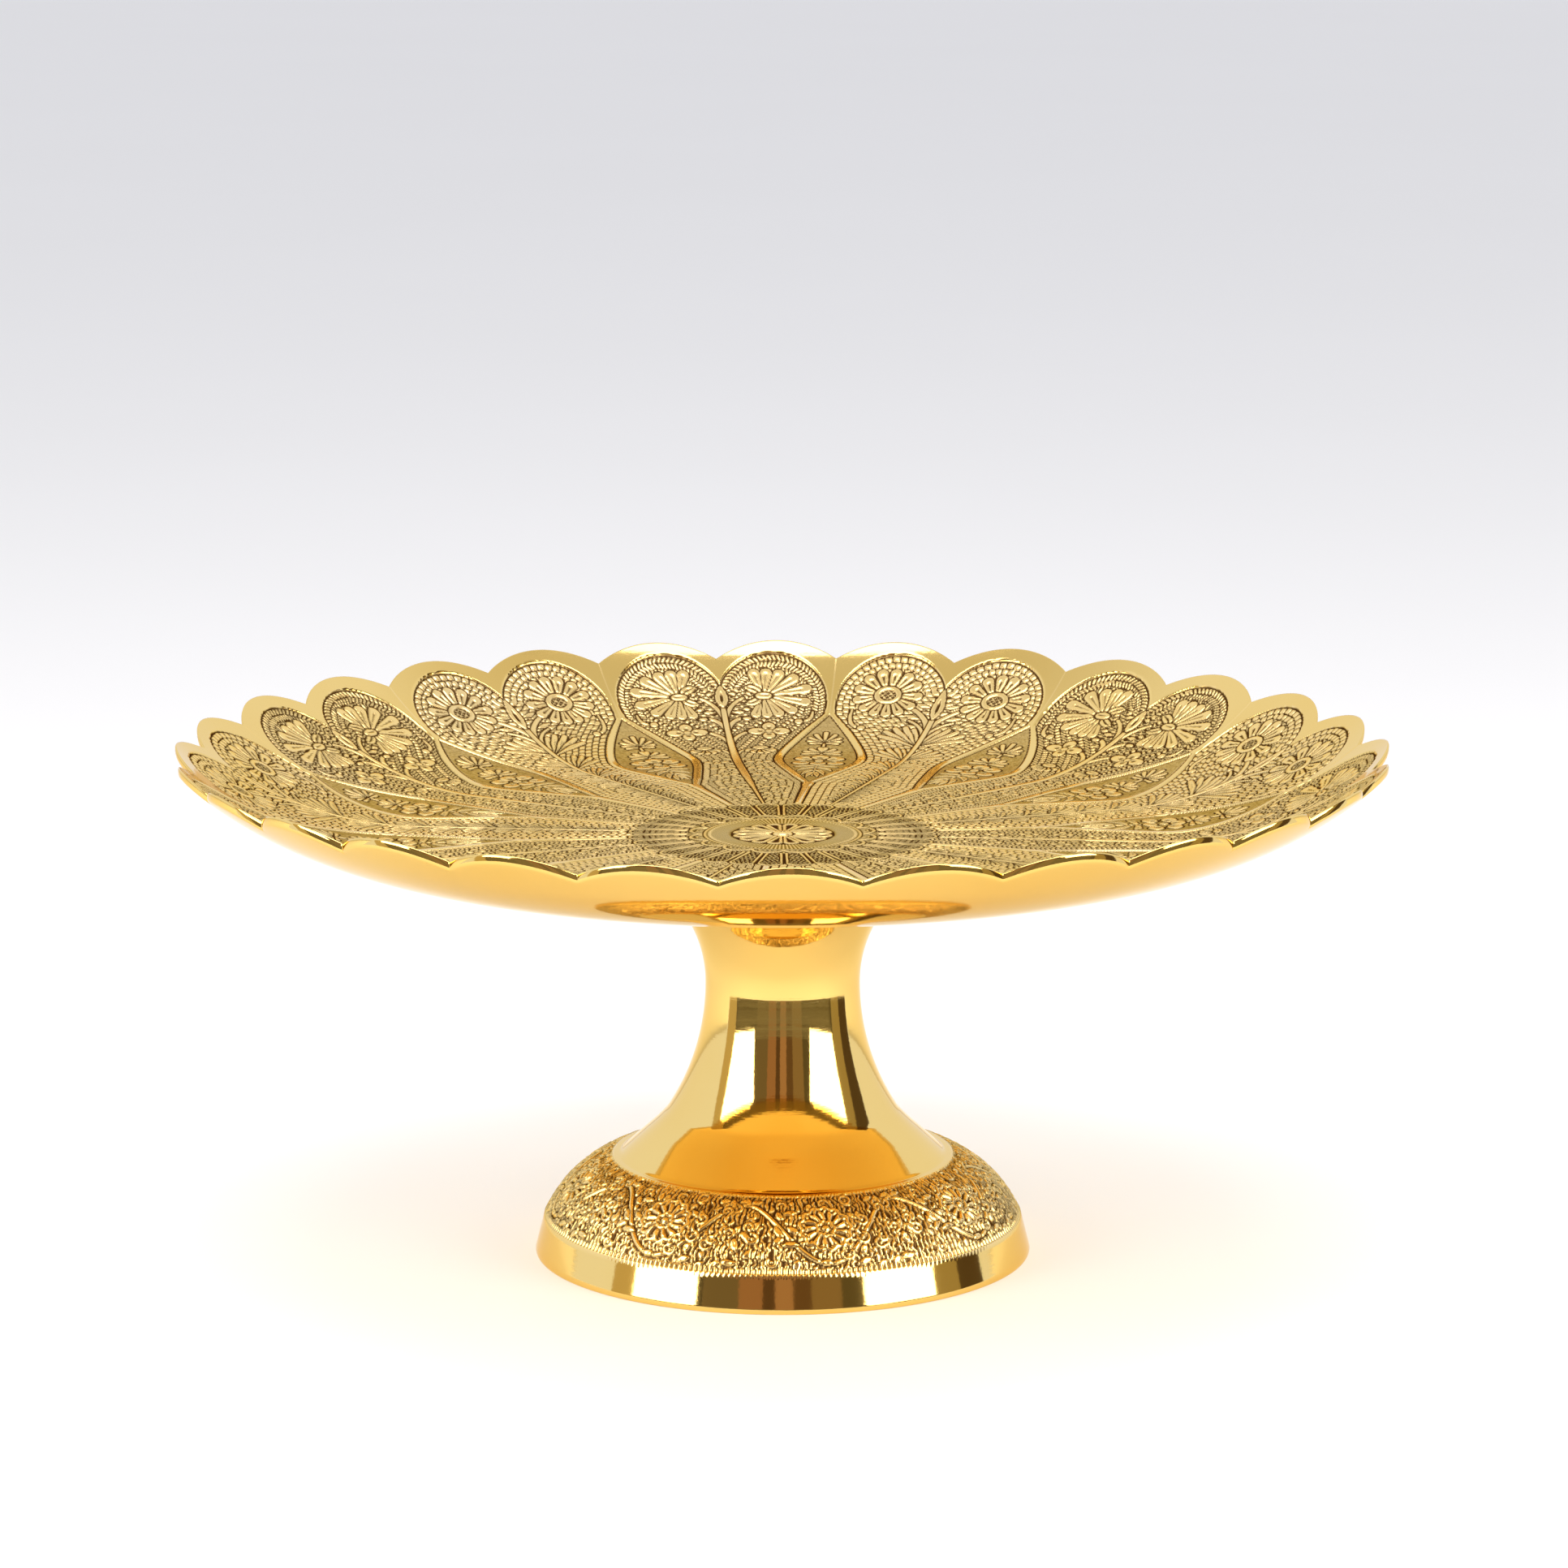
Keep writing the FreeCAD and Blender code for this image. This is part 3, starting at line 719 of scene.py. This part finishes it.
def band_relief(angle, along, length):
    """The chased band on the foot: vine, rosettes and small leaves over a hatched ground."""
    middle_radius = (BAND_LOW[0] + BAND_HIGH[0]) / 2
    x = angle * middle_radius
    wrap = round(TAU * middle_radius / 1.3)
    cells = angle / TAU * wrap
    wander = value_noise(cells, along / 1.6, 11, wrap)
    wander = wander + 0.5 * value_noise(cells * 2, along / 0.8, 12, wrap * 2)
    row = np.floor((along + 0.8 * wander) / 2.3)
    offset = value_noise(row * 7.3, row, 13)
    ticks = round(TAU * middle_radius / 1.15)
    tick = 0.5 + 0.5 * np.cos(TAU * (angle / TAU * ticks + 1.1 * wander + offset))
    relief = Relief(-0.55 + 0.48 * smooth(0.15, 0.8, tick) * (0.55 + 0.45 * wander))

    swing = cell(angle - FIRST_ROSETTE + math.pi / BAND_ROSETTES, BAND_ROSETTES)
    u = swing * middle_radius
    centre = length * 0.52
    half = math.pi / BAND_ROSETTES * middle_radius
    vine_level = centre + length * 0.36 * np.cos(math.pi * u / half)
    slope = length * 0.36 * math.pi / half * np.sin(math.pi * u / half)
    vine = np.abs(along - (length - vine_level)) / np.sqrt(1 + slope ** 2) - 0.55
    relief.emboss(vine, groove=0.6, reach=0.6)
    rng = np.random.default_rng(31)
    for _ in range(46):
        px, py = rng.uniform(-half, half), rng.uniform(1.5, length - 1.5)
        turn, size = rng.uniform(0, math.pi), rng.uniform(0.8, 1.3)
        if math.hypot(px, py - centre) < 7.2:
            continue
        ux, uy = math.cos(turn) * size, math.sin(turn) * size
        start = (px - 1.5 * ux, py - 1.5 * uy)
        middle = (px - 0.6 * uy, py + 0.6 * ux)
        end = (px + 1.6 * ux, py + 1.6 * uy)
        leaf = bend(start, middle, end)
        relief.emboss(stroke(u, along, leaf, taper(0.1, 0.7, 0.75, 0.1)), reach=0.45)
        relief.engrave(stroke(u, along, leaf[2:5], np.array([0.1, 0.2, 0.1])), 0.25)
    for _ in range(26):
        px, py = rng.uniform(-half, half), rng.uniform(2.0, length - 2.0)
        size, turn = rng.uniform(0.9, 1.5), rng.uniform(0, TAU)
        if math.hypot(px, py - centre) < 7.6:
            continue
        gap = np.hypot(u - px, along - py)
        opening = np.cos(np.arctan2(along - py, u - px) - turn)
        relief.emboss(np.where(opening < 0.75, np.abs(gap - size) - 0.34, 2.0), reach=0.4)
        relief.emboss(gap - 0.36, reach=0.3)
    v = along - centre
    away = np.hypot(u, v)
    heading = np.arctan2(v, u)
    relief.sink(away - 6.9, -0.5 + 0.48 * smooth(0.2, 0.8, 0.5 + 0.5 * np.cos(26 * heading + 2.2 * away)))
    beads = 6.1 + 0.35 * np.cos(13 * heading) + 0.4 * np.sin(heading)
    relief.emboss(np.abs(away - beads) - 0.42, reach=0.4)
    relief.sink(away - 5.0, -0.5 + 0.48 * smooth(0.15, 0.7, 0.5 + 0.5 * np.cos(13 * heading - 0.6 * away)))
    relief.emboss(np.abs(away - 2.1 - 0.2 * np.cos(7 * heading)) - 0.32, reach=0.3)
    relief.emboss(away - 0.9)

    border = smooth(0.0, 0.5, along) * smooth(length, length - 0.5, along)
    comb = 0.5 + 0.5 * np.cos(angle * ticks)
    ragged = smooth(2.6, 1.6, along + 0.8 * wander)
    hatch = -0.5 + 0.46 * smooth(0.2, 0.7, comb)
    height = relief.height * (1 - ragged) + hatch * ragged
    return BAND_DEPTH * height * border


def build_pedestal():
    full = 1120
    half, quarter = full // 2, full // 4
    outer = [
        (line((59.5, 0), (FOOT_RADIUS - 0.5, 0), 1.0), full),
        (rounded(((60.0, 0), (FOOT_RADIUS, 0), BAND_LOW), 0.5), full),
        (line((62.0, 0.55), BAND_LOW, 1.1), full),
    ]
    band = arc(BAND_LOW, BAND_HIGH, BAND_ARC, 1, 0.36)
    cone = [
        (line(BAND_HIGH, CONE_FOOT, 0.5), full),
        (line(CONE_FOOT, CONE_KNEE, 0.9), full),
        (arc(CONE_KNEE, CONE_MIDDLE, CONE_LOW_ARC, -1, 0.8), half),
        (arc(CONE_MIDDLE, NECK, CONE_HIGH_ARC, -1, 1.0), half),
        (arc(NECK, FLARE_MIDDLE, NECK_ARC, -1, 1.0), half),
        (line(FLARE_MIDDLE, FLARE_TOP, 1.2), half),
        (rounded((FLARE_MIDDLE, FLARE_TOP, (SEAT_RADIUS, SEAT)), 0.5), half),
        (rounded((FLARE_TOP, (SEAT_RADIUS, SEAT), (MOUTH, SEAT)), 0.3), half),
    ]
    inner = [
        (line((32.0, SEAT), (MOUTH, SEAT), 1.0), quarter),
        (line((MOUTH, SEAT), (RECESS, WEB_TOP), 2.0), quarter),
        (line((RECESS, WEB_TOP), (STUD_HOLE, WEB_TOP), 3.0), quarter),
        (line((STUD_HOLE, WEB_TOP), (STUD_HOLE, WEB_BOTTOM), 1.0), quarter),
        (line((STUD_HOLE, WEB_BOTTOM), (BORE, WEB_BOTTOM), 2.5), quarter),
        (line((BORE, WEB_BOTTOM), (BORE, NECK[1]), 2.0), quarter),
        (arc((BORE, NECK[1]), CORE_MIDDLE, CONE_HIGH_ARC + PEDESTAL_WALL, 1, 2.0), quarter),
        (arc(CORE_MIDDLE, CORE_CONE, CORE_LOW_ARC, 1, 1.5), quarter),
        (line(CORE_CONE, CORE_SHOULDER, 1.0), quarter),
        (arc(CORE_SHOULDER, CORE_BAND, BAND_ARC - PEDESTAL_WALL, -1, 1.5), quarter),
        (line(CORE_BAND, (59.1, 0.2), 1.5), quarter),
        (line((59.1, 0.2), (59.3, 0.0), 0.5), half),
    ]
    rings = []
    add_profile(rings, outer, 0.30, 0.40)
    add_band(rings, band, full, 0.40, 0.60)
    add_profile(rings, cone, 0.60, 0.998)
    add_profile(rings, inner, 0.002, 0.28)
    return mesh_from_rings("turned_pedestal", rings, loop=True)


def revolve(points, columns):
    angle = TAU * np.arange(columns) / columns
    return np.stack([
        points[:, 0, None] * np.sin(angle), -points[:, 0, None] * np.cos(angle),
        points[:, 1, None] + 0 * angle], axis=-1)


def strip_uv(columns, level):
    return np.stack([0.002 + 0.996 * np.arange(columns) / columns, np.full(columns, level)], 1)


def add_profile(rings, stretches, low, high):
    total = sum(len(points) for points, _ in stretches)
    number = 0
    for points, columns in stretches:
        for row in revolve(points, columns):
            level = low + (high - low) * number / total
            rings.append(ring(row, strip_uv(columns, level)))
            number += 1


def add_band(rings, points, columns, low, high):
    steps = np.hypot(*np.diff(points, axis=0).T)
    along = np.concatenate([[0], np.cumsum(steps)])
    length = along[-1] + steps[-1]
    angle = TAU * np.arange(columns) / columns
    height = band_relief(angle[None, :] + 0 * along[:, None], along[:, None] + 0 * angle[None, :], length)
    tangent = np.gradient(points, axis=0)
    tangent /= np.hypot(*tangent.T)[:, None]
    radius = points[:, 0, None] + height * tangent[:, 1, None]
    level = points[:, 1, None] - height * tangent[:, 0, None]
    rows = np.stack([radius * np.sin(angle), -radius * np.cos(angle), level], axis=-1)
    for number, row in enumerate(rows):
        uv = strip_uv(columns, low + (high - low) * number / len(rows))
        rings.append(ring(row, uv, BAND_SHINE * height[number], np.ones(columns)))


# ---------------------------------------------------------------- materials

def new_material(name):
    material = bpy.data.materials.new(name)
    material.use_nodes = True
    nodes = material.node_tree.nodes
    return material, nodes, material.node_tree.links, nodes["Principled BSDF"]


def math_node(nodes, links, operation, first, second):
    node = nodes.new("ShaderNodeMath")
    node.operation = operation
    for socket, value in zip(node.inputs, (first, second)):
        if isinstance(value, float):
            socket.default_value = value
        else:
            links.new(value, socket)
    return node.outputs[0]


def ramp(nodes, links, source, low, high, bottom=0.0, top=1.0):
    node = nodes.new("ShaderNodeMapRange")
    node.inputs["From Min"].default_value = low
    node.inputs["From Max"].default_value = high
    node.inputs["To Min"].default_value = bottom
    node.inputs["To Max"].default_value = top
    links.new(source, node.inputs["Value"])
    return node.outputs["Result"]


def mix(nodes, links, factor, first, second):
    node = nodes.new("ShaderNodeMix")
    node.data_type = "RGBA"
    links.new(factor, node.inputs["Factor"])
    for socket, value in ((node.inputs[6], first), (node.inputs[7], second)):
        if isinstance(value, tuple):
            socket.default_value = (*value, 1.0)
        else:
            links.new(value, socket)
    return node.outputs[2]


def noise(nodes, links, scale, detail=4.0, stretch=None):
    coordinates = nodes.new("ShaderNodeTexCoord").outputs["Object"]
    if stretch:
        mapping = nodes.new("ShaderNodeMapping")
        mapping.inputs["Scale"].default_value = stretch
        links.new(coordinates, mapping.inputs["Vector"])
        coordinates = mapping.outputs["Vector"]
    texture = nodes.new("ShaderNodeTexNoise")
    texture.inputs["Scale"].default_value = scale
    texture.inputs["Detail"].default_value = detail
    links.new(coordinates, texture.inputs["Vector"])
    return texture.outputs["Fac"]


def attribute(nodes, name):
    node = nodes.new("ShaderNodeAttribute")
    node.attribute_name = name
    return node.outputs["Fac"]


def bump(nodes, links, shader, height, distance, strength=1.0):
    node = nodes.new("ShaderNodeBump")
    node.inputs["Distance"].default_value = distance
    node.inputs["Strength"].default_value = strength
    links.new(height, node.inputs["Height"])
    links.new(node.outputs["Normal"], shader.inputs["Normal"])


POLISHED = (0.86, 0.59, 0.18)
WARM = (0.85, 0.56, 0.15)
CHASED_HIGH = (0.94, 0.64, 0.20)
CHASED_GREY = (0.91, 0.65, 0.26)
# Dark colour of the cuts: partly patina, partly painted shade standing in for the shadow down in them.
PATINA_AND_SHADE = (0.11, 0.055, 0.015)
# What the metal reflects near grazing angles: brass stays warm, and the cuts stay dark, partly from patina
# and partly from painted shade.
POLISHED_EDGE = (0.95, 0.86, 0.66)
CHASED_EDGE = (0.90, 0.72, 0.40)
PATINA_AND_SHADE_EDGE = (0.20, 0.11, 0.03)


def brass_material(name, chased_rough, plain_rough):
    """Polished brass whose chased parts are matt, with dark colour down in the cuts that is partly patina
    and partly painted shade.
    """
    material, nodes, links, shader = new_material(name)
    shader.inputs["Metallic"].default_value = 1.0
    depth = attribute(nodes, "depth")
    chased = attribute(nodes, "chased")
    cloud = noise(nodes, links, 18.0, 5.0)
    grain = noise(nodes, links, 900.0, 3.0)
    lathe = noise(nodes, links, 40.0, 3.0, (1, 1, 40))
    plain = mix(nodes, links, ramp(nodes, links, cloud, 0.35, 0.65), POLISHED, WARM)
    high = mix(nodes, links, ramp(nodes, links, cloud, 0.3, 0.7), CHASED_HIGH, CHASED_GREY)
    # Deeper cuts are painted darker: partly patina, partly painted shade.
    patina_and_shade = ramp(nodes, links, depth, 0.24, 0.70)
    worked = mix(nodes, links, patina_and_shade, high, PATINA_AND_SHADE)
    links.new(mix(nodes, links, chased, plain, worked), shader.inputs["Base Color"])
    # The cuts' grazing reflection is darkened the same way, partly patina and partly painted shade.
    worked_edge = mix(nodes, links, patina_and_shade, CHASED_EDGE, PATINA_AND_SHADE_EDGE)
    links.new(mix(nodes, links, chased, POLISHED_EDGE, worked_edge), shader.inputs["Specular Tint"])

    rough_plain = ramp(nodes, links, cloud, 0.2, 0.8, plain_rough, plain_rough + 0.05)
    rough_chased = ramp(nodes, links, depth, 0.0, 1.0, chased_rough, chased_rough + 0.35)
    blend = nodes.new("ShaderNodeMix")
    links.new(chased, blend.inputs["Factor"])
    links.new(rough_plain, blend.inputs[2])
    links.new(rough_chased, blend.inputs[3])
    links.new(blend.outputs[0], shader.inputs["Roughness"])
    bump(nodes, links, shader, math_node(nodes, links, "ADD", grain, lathe), 0.00001, 0.6)
    return material


def plain_metal(name, colour, second, rough, turned):
    """Unfinished metal of the hidden fastening, with a turned or plated grain."""
    material, nodes, links, shader = new_material(name)
    shader.inputs["Metallic"].default_value = 1.0
    cloud = noise(nodes, links, 60.0, 6.0)
    grain = noise(nodes, links, 700.0, 2.0, turned)
    cloudy = ramp(nodes, links, cloud, 0.35, 0.65)
    links.new(mix(nodes, links, cloudy, colour, second), shader.inputs["Base Color"])
    links.new(ramp(nodes, links, grain, 0.3, 0.7, rough, rough + 0.15), shader.inputs["Roughness"])
    bump(nodes, links, shader, grain, 0.00003, 0.6)
    return material


# ---------------------------------------------------------------- pieces

dish = build_dish()
dish.data.materials.append(brass_material("engraved_brass", 0.20, 0.05))
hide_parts("plate")
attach(dish, "root")

pedestal = build_pedestal()
pedestal.data.materials.append(brass_material("polished_brass", 0.16, 0.04))
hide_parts("pedestal")
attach(pedestal, "root")

boss_brass = plain_metal("turned_brass", (0.62, 0.45, 0.20), (0.50, 0.36, 0.16), 0.32, (1, 1, 12))
zinc = plain_metal("zinc_plate", (0.60, 0.61, 0.63), (0.48, 0.49, 0.52), 0.28, (1, 1, 4))
for node, material in (("plate_boss", boss_brass), ("centre_stud", zinc), ("flat_washer", zinc),
                       ("lock_washer", zinc), ("hex_nut", zinc)):
    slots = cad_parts[node].data.materials
    slots.clear()
    slots.append(material)


# ---------------------------------------------------------------- studio

def make_floor():
    """A white table top, softly lit from below, whose round front edge is just outside the view."""
    mesh = bpy.data.meshes.new("floor")
    near, far = 0.335, 6.0
    corners = [(0.0, 0.0, 0.0)]
    for degrees in range(-180, 180, 3):
        reach = near if -87 < degrees < 105 else far
        a = math.radians(degrees)
        corners.append((reach * math.sin(a), -reach * math.cos(a), 0.0))
    count = len(corners) - 1
    faces = [(0, 1 + i, 1 + (i + 1) % count) for i in range(count)]
    mesh.from_pydata(corners, [], faces)
    floor = bpy.data.objects.new("floor", mesh)
    bpy.context.collection.objects.link(floor)
    material, nodes, links, shader = new_material("paper")
    shade = mix(nodes, links, noise(nodes, links, 3.0), (0.62, 0.60, 0.53), (0.64, 0.62, 0.55))
    links.new(shade, shader.inputs["Base Color"])
    shader.inputs["Roughness"].default_value = 0.9
    shader.inputs["Emission Color"].default_value = (1.0, 1.0, 1.0, 1.0)
    shader.inputs["Emission Strength"].default_value = 0.28
    mesh.materials.append(material)


def softbox(name, azimuth, elevation, distance, width, height, power, colour=(1.0, 0.98, 0.95)):
    """A rectangular light that faces the stand's middle. Azimuth 0 is the camera's side."""
    light = bpy.data.lights.new(name, "AREA")
    light.shape = "RECTANGLE"
    light.size, light.size_y = width, height
    light.energy = power
    light.color = colour
    obj = bpy.data.objects.new(name, light)
    bpy.context.collection.objects.link(obj)
    a, e = math.radians(azimuth), math.radians(elevation)
    target = Vector((0, 0, SEAT * MM * 0.6))
    back = Vector((math.sin(a) * math.cos(e), -math.cos(a) * math.cos(e), math.sin(e)))
    obj.location = target + back * distance
    obj.rotation_euler = (-back).to_track_quat("-Z", "Y").to_euler()


# What stands round the stand, as (azimuth in degrees, colour): each colour holds up to the next
# azimuth. 0 is the camera's side. The windows are lights, and the wall between them is unlit.
WALL = (0.98, 1.07, 1.42)
ROOM = (
    (-180, WALL),
    (-86, (0.62, 0.52, 0.32)),
    (-73, (0.10, 0.08, 0.05)),
    (-38, (0.19, 0.15, 0.10)),
    (-22, (0.36, 0.20, 0.13)),
    (-11, (0.12, 0.07, 0.04)),
    (-5, (0.42, 0.25, 0.17)),
    (4, (0.15, 0.09, 0.05)),
    (12, (0.28, 0.20, 0.12)),
    (26, (0.12, 0.10, 0.06)),
    (74, (0.40, 0.33, 0.18)),
    (88, (0.10, 0.07, 0.04)),
    (104, WALL),
)
CEILING = (0.74, 0.76, 0.84)
HORIZON_GREY = (0.30, 0.28, 0.22)


def make_world():
    """A white cove behind and beside the stand, and a dim room on the camera's side."""
    world = bpy.data.worlds.new("studio")
    bpy.context.scene.world = world
    world.use_nodes = True
    nodes, links = world.node_tree.nodes, world.node_tree.links
    background = nodes["Background"]
    parts = nodes.new("ShaderNodeSeparateXYZ")
    links.new(nodes.new("ShaderNodeTexCoord").outputs["Generated"], parts.inputs["Vector"])
    ahead = math_node(nodes, links, "MULTIPLY", parts.outputs["Y"], -1.0)
    azimuth = math_node(nodes, links, "ARCTAN2", parts.outputs["X"], ahead)
    room = nodes.new("ShaderNodeValToRGB")
    room.color_ramp.interpolation = "CONSTANT"
    stops = room.color_ramp.elements
    for number, (degrees, colour) in enumerate(ROOM):
        place = (degrees + 180) / 360
        stop = stops[number] if number < 2 else stops.new(place)
        stop.position = place
        stop.color = (*colour, 1.0)
    links.new(ramp(nodes, links, azimuth, -math.pi, math.pi), room.inputs["Fac"])
    in_front = ramp(nodes, links, parts.outputs["Y"], -0.28, -0.36)
    below = math_node(nodes, links, "LESS_THAN", parts.outputs["Z"], 0.09)
    skirting = math_node(nodes, links, "MULTIPLY", in_front, below)
    wave = nodes.new("ShaderNodeTexNoise")
    wave.noise_dimensions = "1D"
    wave.inputs["Scale"].default_value = 60.0
    links.new(parts.outputs["Z"], wave.inputs["W"])
    stripes = ramp(nodes, links, wave.outputs["Fac"], 0.35, 0.6)
    striped = math_node(nodes, links, "MULTIPLY", skirting, stripes)
    walls = mix(nodes, links, striped, room.outputs["Color"], HORIZON_GREY)
    high = ramp(nodes, links, parts.outputs["Z"], 0.72, 0.92)
    links.new(mix(nodes, links, high, walls, CEILING), background.inputs["Color"])
    background.inputs["Strength"].default_value = 1.0
    white = nodes.new("ShaderNodeBackground")
    white.inputs["Strength"].default_value = 1.1
    both_worlds = nodes.new("ShaderNodeMixShader")
    links.new(nodes.new("ShaderNodeLightPath").outputs["Is Camera Ray"], both_worlds.inputs["Fac"])
    links.new(background.outputs[0], both_worlds.inputs[1])
    links.new(white.outputs[0], both_worlds.inputs[2])
    links.new(both_worlds.outputs[0], nodes["World Output"].inputs["Surface"])


def make_camera():
    """A long lens level with the front, 11 degrees down, a little to the left of the scallop's tip."""
    data = bpy.data.cameras.new("camera")
    data.lens = 138.45
    data.sensor_width = 36.0
    data.shift_x = 0.00085
    data.clip_end = 100.0
    camera = bpy.data.objects.new("camera", data)
    bpy.context.collection.objects.link(camera)
    around = math.radians(-0.7)
    distance, height = 1.4651, 0.4061
    camera.location = (distance * math.sin(around), -distance * math.cos(around), height)
    camera.rotation_euler = (math.radians(90 - 11.106), 0.0, around)
    bpy.context.scene.camera = camera


bpy.context.scene.view_settings.view_transform = "Standard"
make_floor()
make_world()
softbox("left_window", -56.3, 24.5, 1.3, 0.78, 1.12, 18.0)
softbox("right_window", 55.0, 24.5, 1.3, 0.88, 1.12, 20.0)
softbox("overhead", 0, 87, 1.2, 0.90, 0.46, 4.8, colour=(1.0, 1.02, 1.35))
make_camera()
